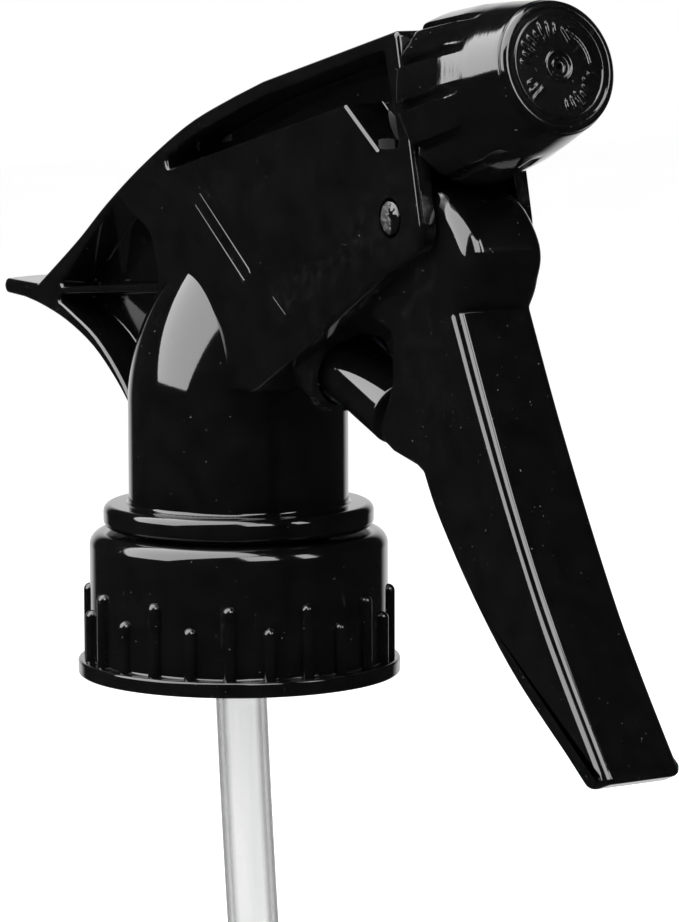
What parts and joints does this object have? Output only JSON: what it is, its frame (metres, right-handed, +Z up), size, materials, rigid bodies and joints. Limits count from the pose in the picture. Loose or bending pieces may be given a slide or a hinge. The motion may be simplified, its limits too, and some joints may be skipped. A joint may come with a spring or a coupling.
{
  "type": "trigger spray head",
  "caption": "Trigger spray head for a hand mister: screw closure, neck with dip tube, piston pump worked by a curved trigger, and a fluted twist nozzle.",
  "frame": {"origin": "centre of the neck gasket's underside, where the bottle's rim presses, on the neck's axis", "axes": "+Z up along the neck, +X the way the spray goes, flat sides of the body facing -Y and +Y"},
  "size_m": [0.1168, 0.0358, 0.2449],
  "materials": {
    "black_plastic": "glossy moulded polypropylene",
    "natural_plastic": "natural moulded polyethylene",
    "tube_plastic": "translucent extruded polyethylene",
    "steel": "stainless wire and balls",
    "gasket_foam": "soft closed foam",
    "seal_rubber": "moulded rubber ring"
  },
  "bodies": {
    "head": {"body": "black_plastic", "tube_holder": "natural_plastic", "neck_gasket": "gasket_foam", "ball_cage": "natural_plastic", "dip_tube": "tube_plastic", "trigger_pin": "black_plastic", "swirl_core": "natural_plastic", "return_spring": "steel", "outlet_spring": "steel"},
    "nut": {"closure_nut": "black_plastic"},
    "lever": {"trigger": "black_plastic"},
    "piston": {"piston_rod": "black_plastic", "piston_seal": "natural_plastic"},
    "seal_ring": {"nozzle_seal": "seal_rubber"},
    "nozzle": {"nozzle_cap": "black_plastic"},
    "inlet_valve": {"inlet_ball": "steel"},
    "outlet_valve": {"outlet_ball": "steel"}
  },
  "joints": [
    {"name": "trigger_pivot", "type": "hinge", "parent": "head", "child": "lever", "pos_m": [0.0408, 0, 0.0408], "axis": [0, 1, 0], "range_deg": [0, 21], "stiffness_Nm_per_rad": 1, "springref_deg": -17.19},
    {"name": "pump_stroke", "type": "slide", "parent": "head", "child": "piston", "axis": [-0.9272, 0, 0.3746], "range_m": [0, 0.0087], "deforming": ["return_spring"]},
    {"name": "nozzle_travel", "type": "slide", "parent": "head", "child": "seal_ring", "axis": [0.9686, 0, 0.2487], "range_m": [0, 0.00274]},
    {"name": "nozzle_turn", "type": "hinge", "parent": "seal_ring", "child": "nozzle", "pos_m": [0.06065, 0, 0.0568], "axis": [0.9686, 0, 0.2487], "range_deg": [0, 450]},
    {"name": "nut_spin", "type": "hinge", "parent": "head", "child": "nut", "pos_m": [0, 0, 0], "axis": [0, 0, 1], "continuous": true},
    {"name": "inlet_lift", "type": "slide", "parent": "head", "child": "inlet_valve", "axis": [0, 0, 1], "range_m": [0, 0.002]},
    {"name": "outlet_lift", "type": "slide", "parent": "head", "child": "outlet_valve", "axis": [0.9686, 0, 0.2487], "range_m": [0, 0.0008], "stiffness_N_per_m": 150, "springref_m": -0.001, "deforming": ["outlet_spring"]}
  ],
  "couplings": [
    {"joint": "pump_stroke", "follows": "trigger_pivot", "m_per_rad": 0.02373},
    {"joint": "nozzle_turn", "follows": "nozzle_travel", "rad_per_m": 2856}
  ]
}
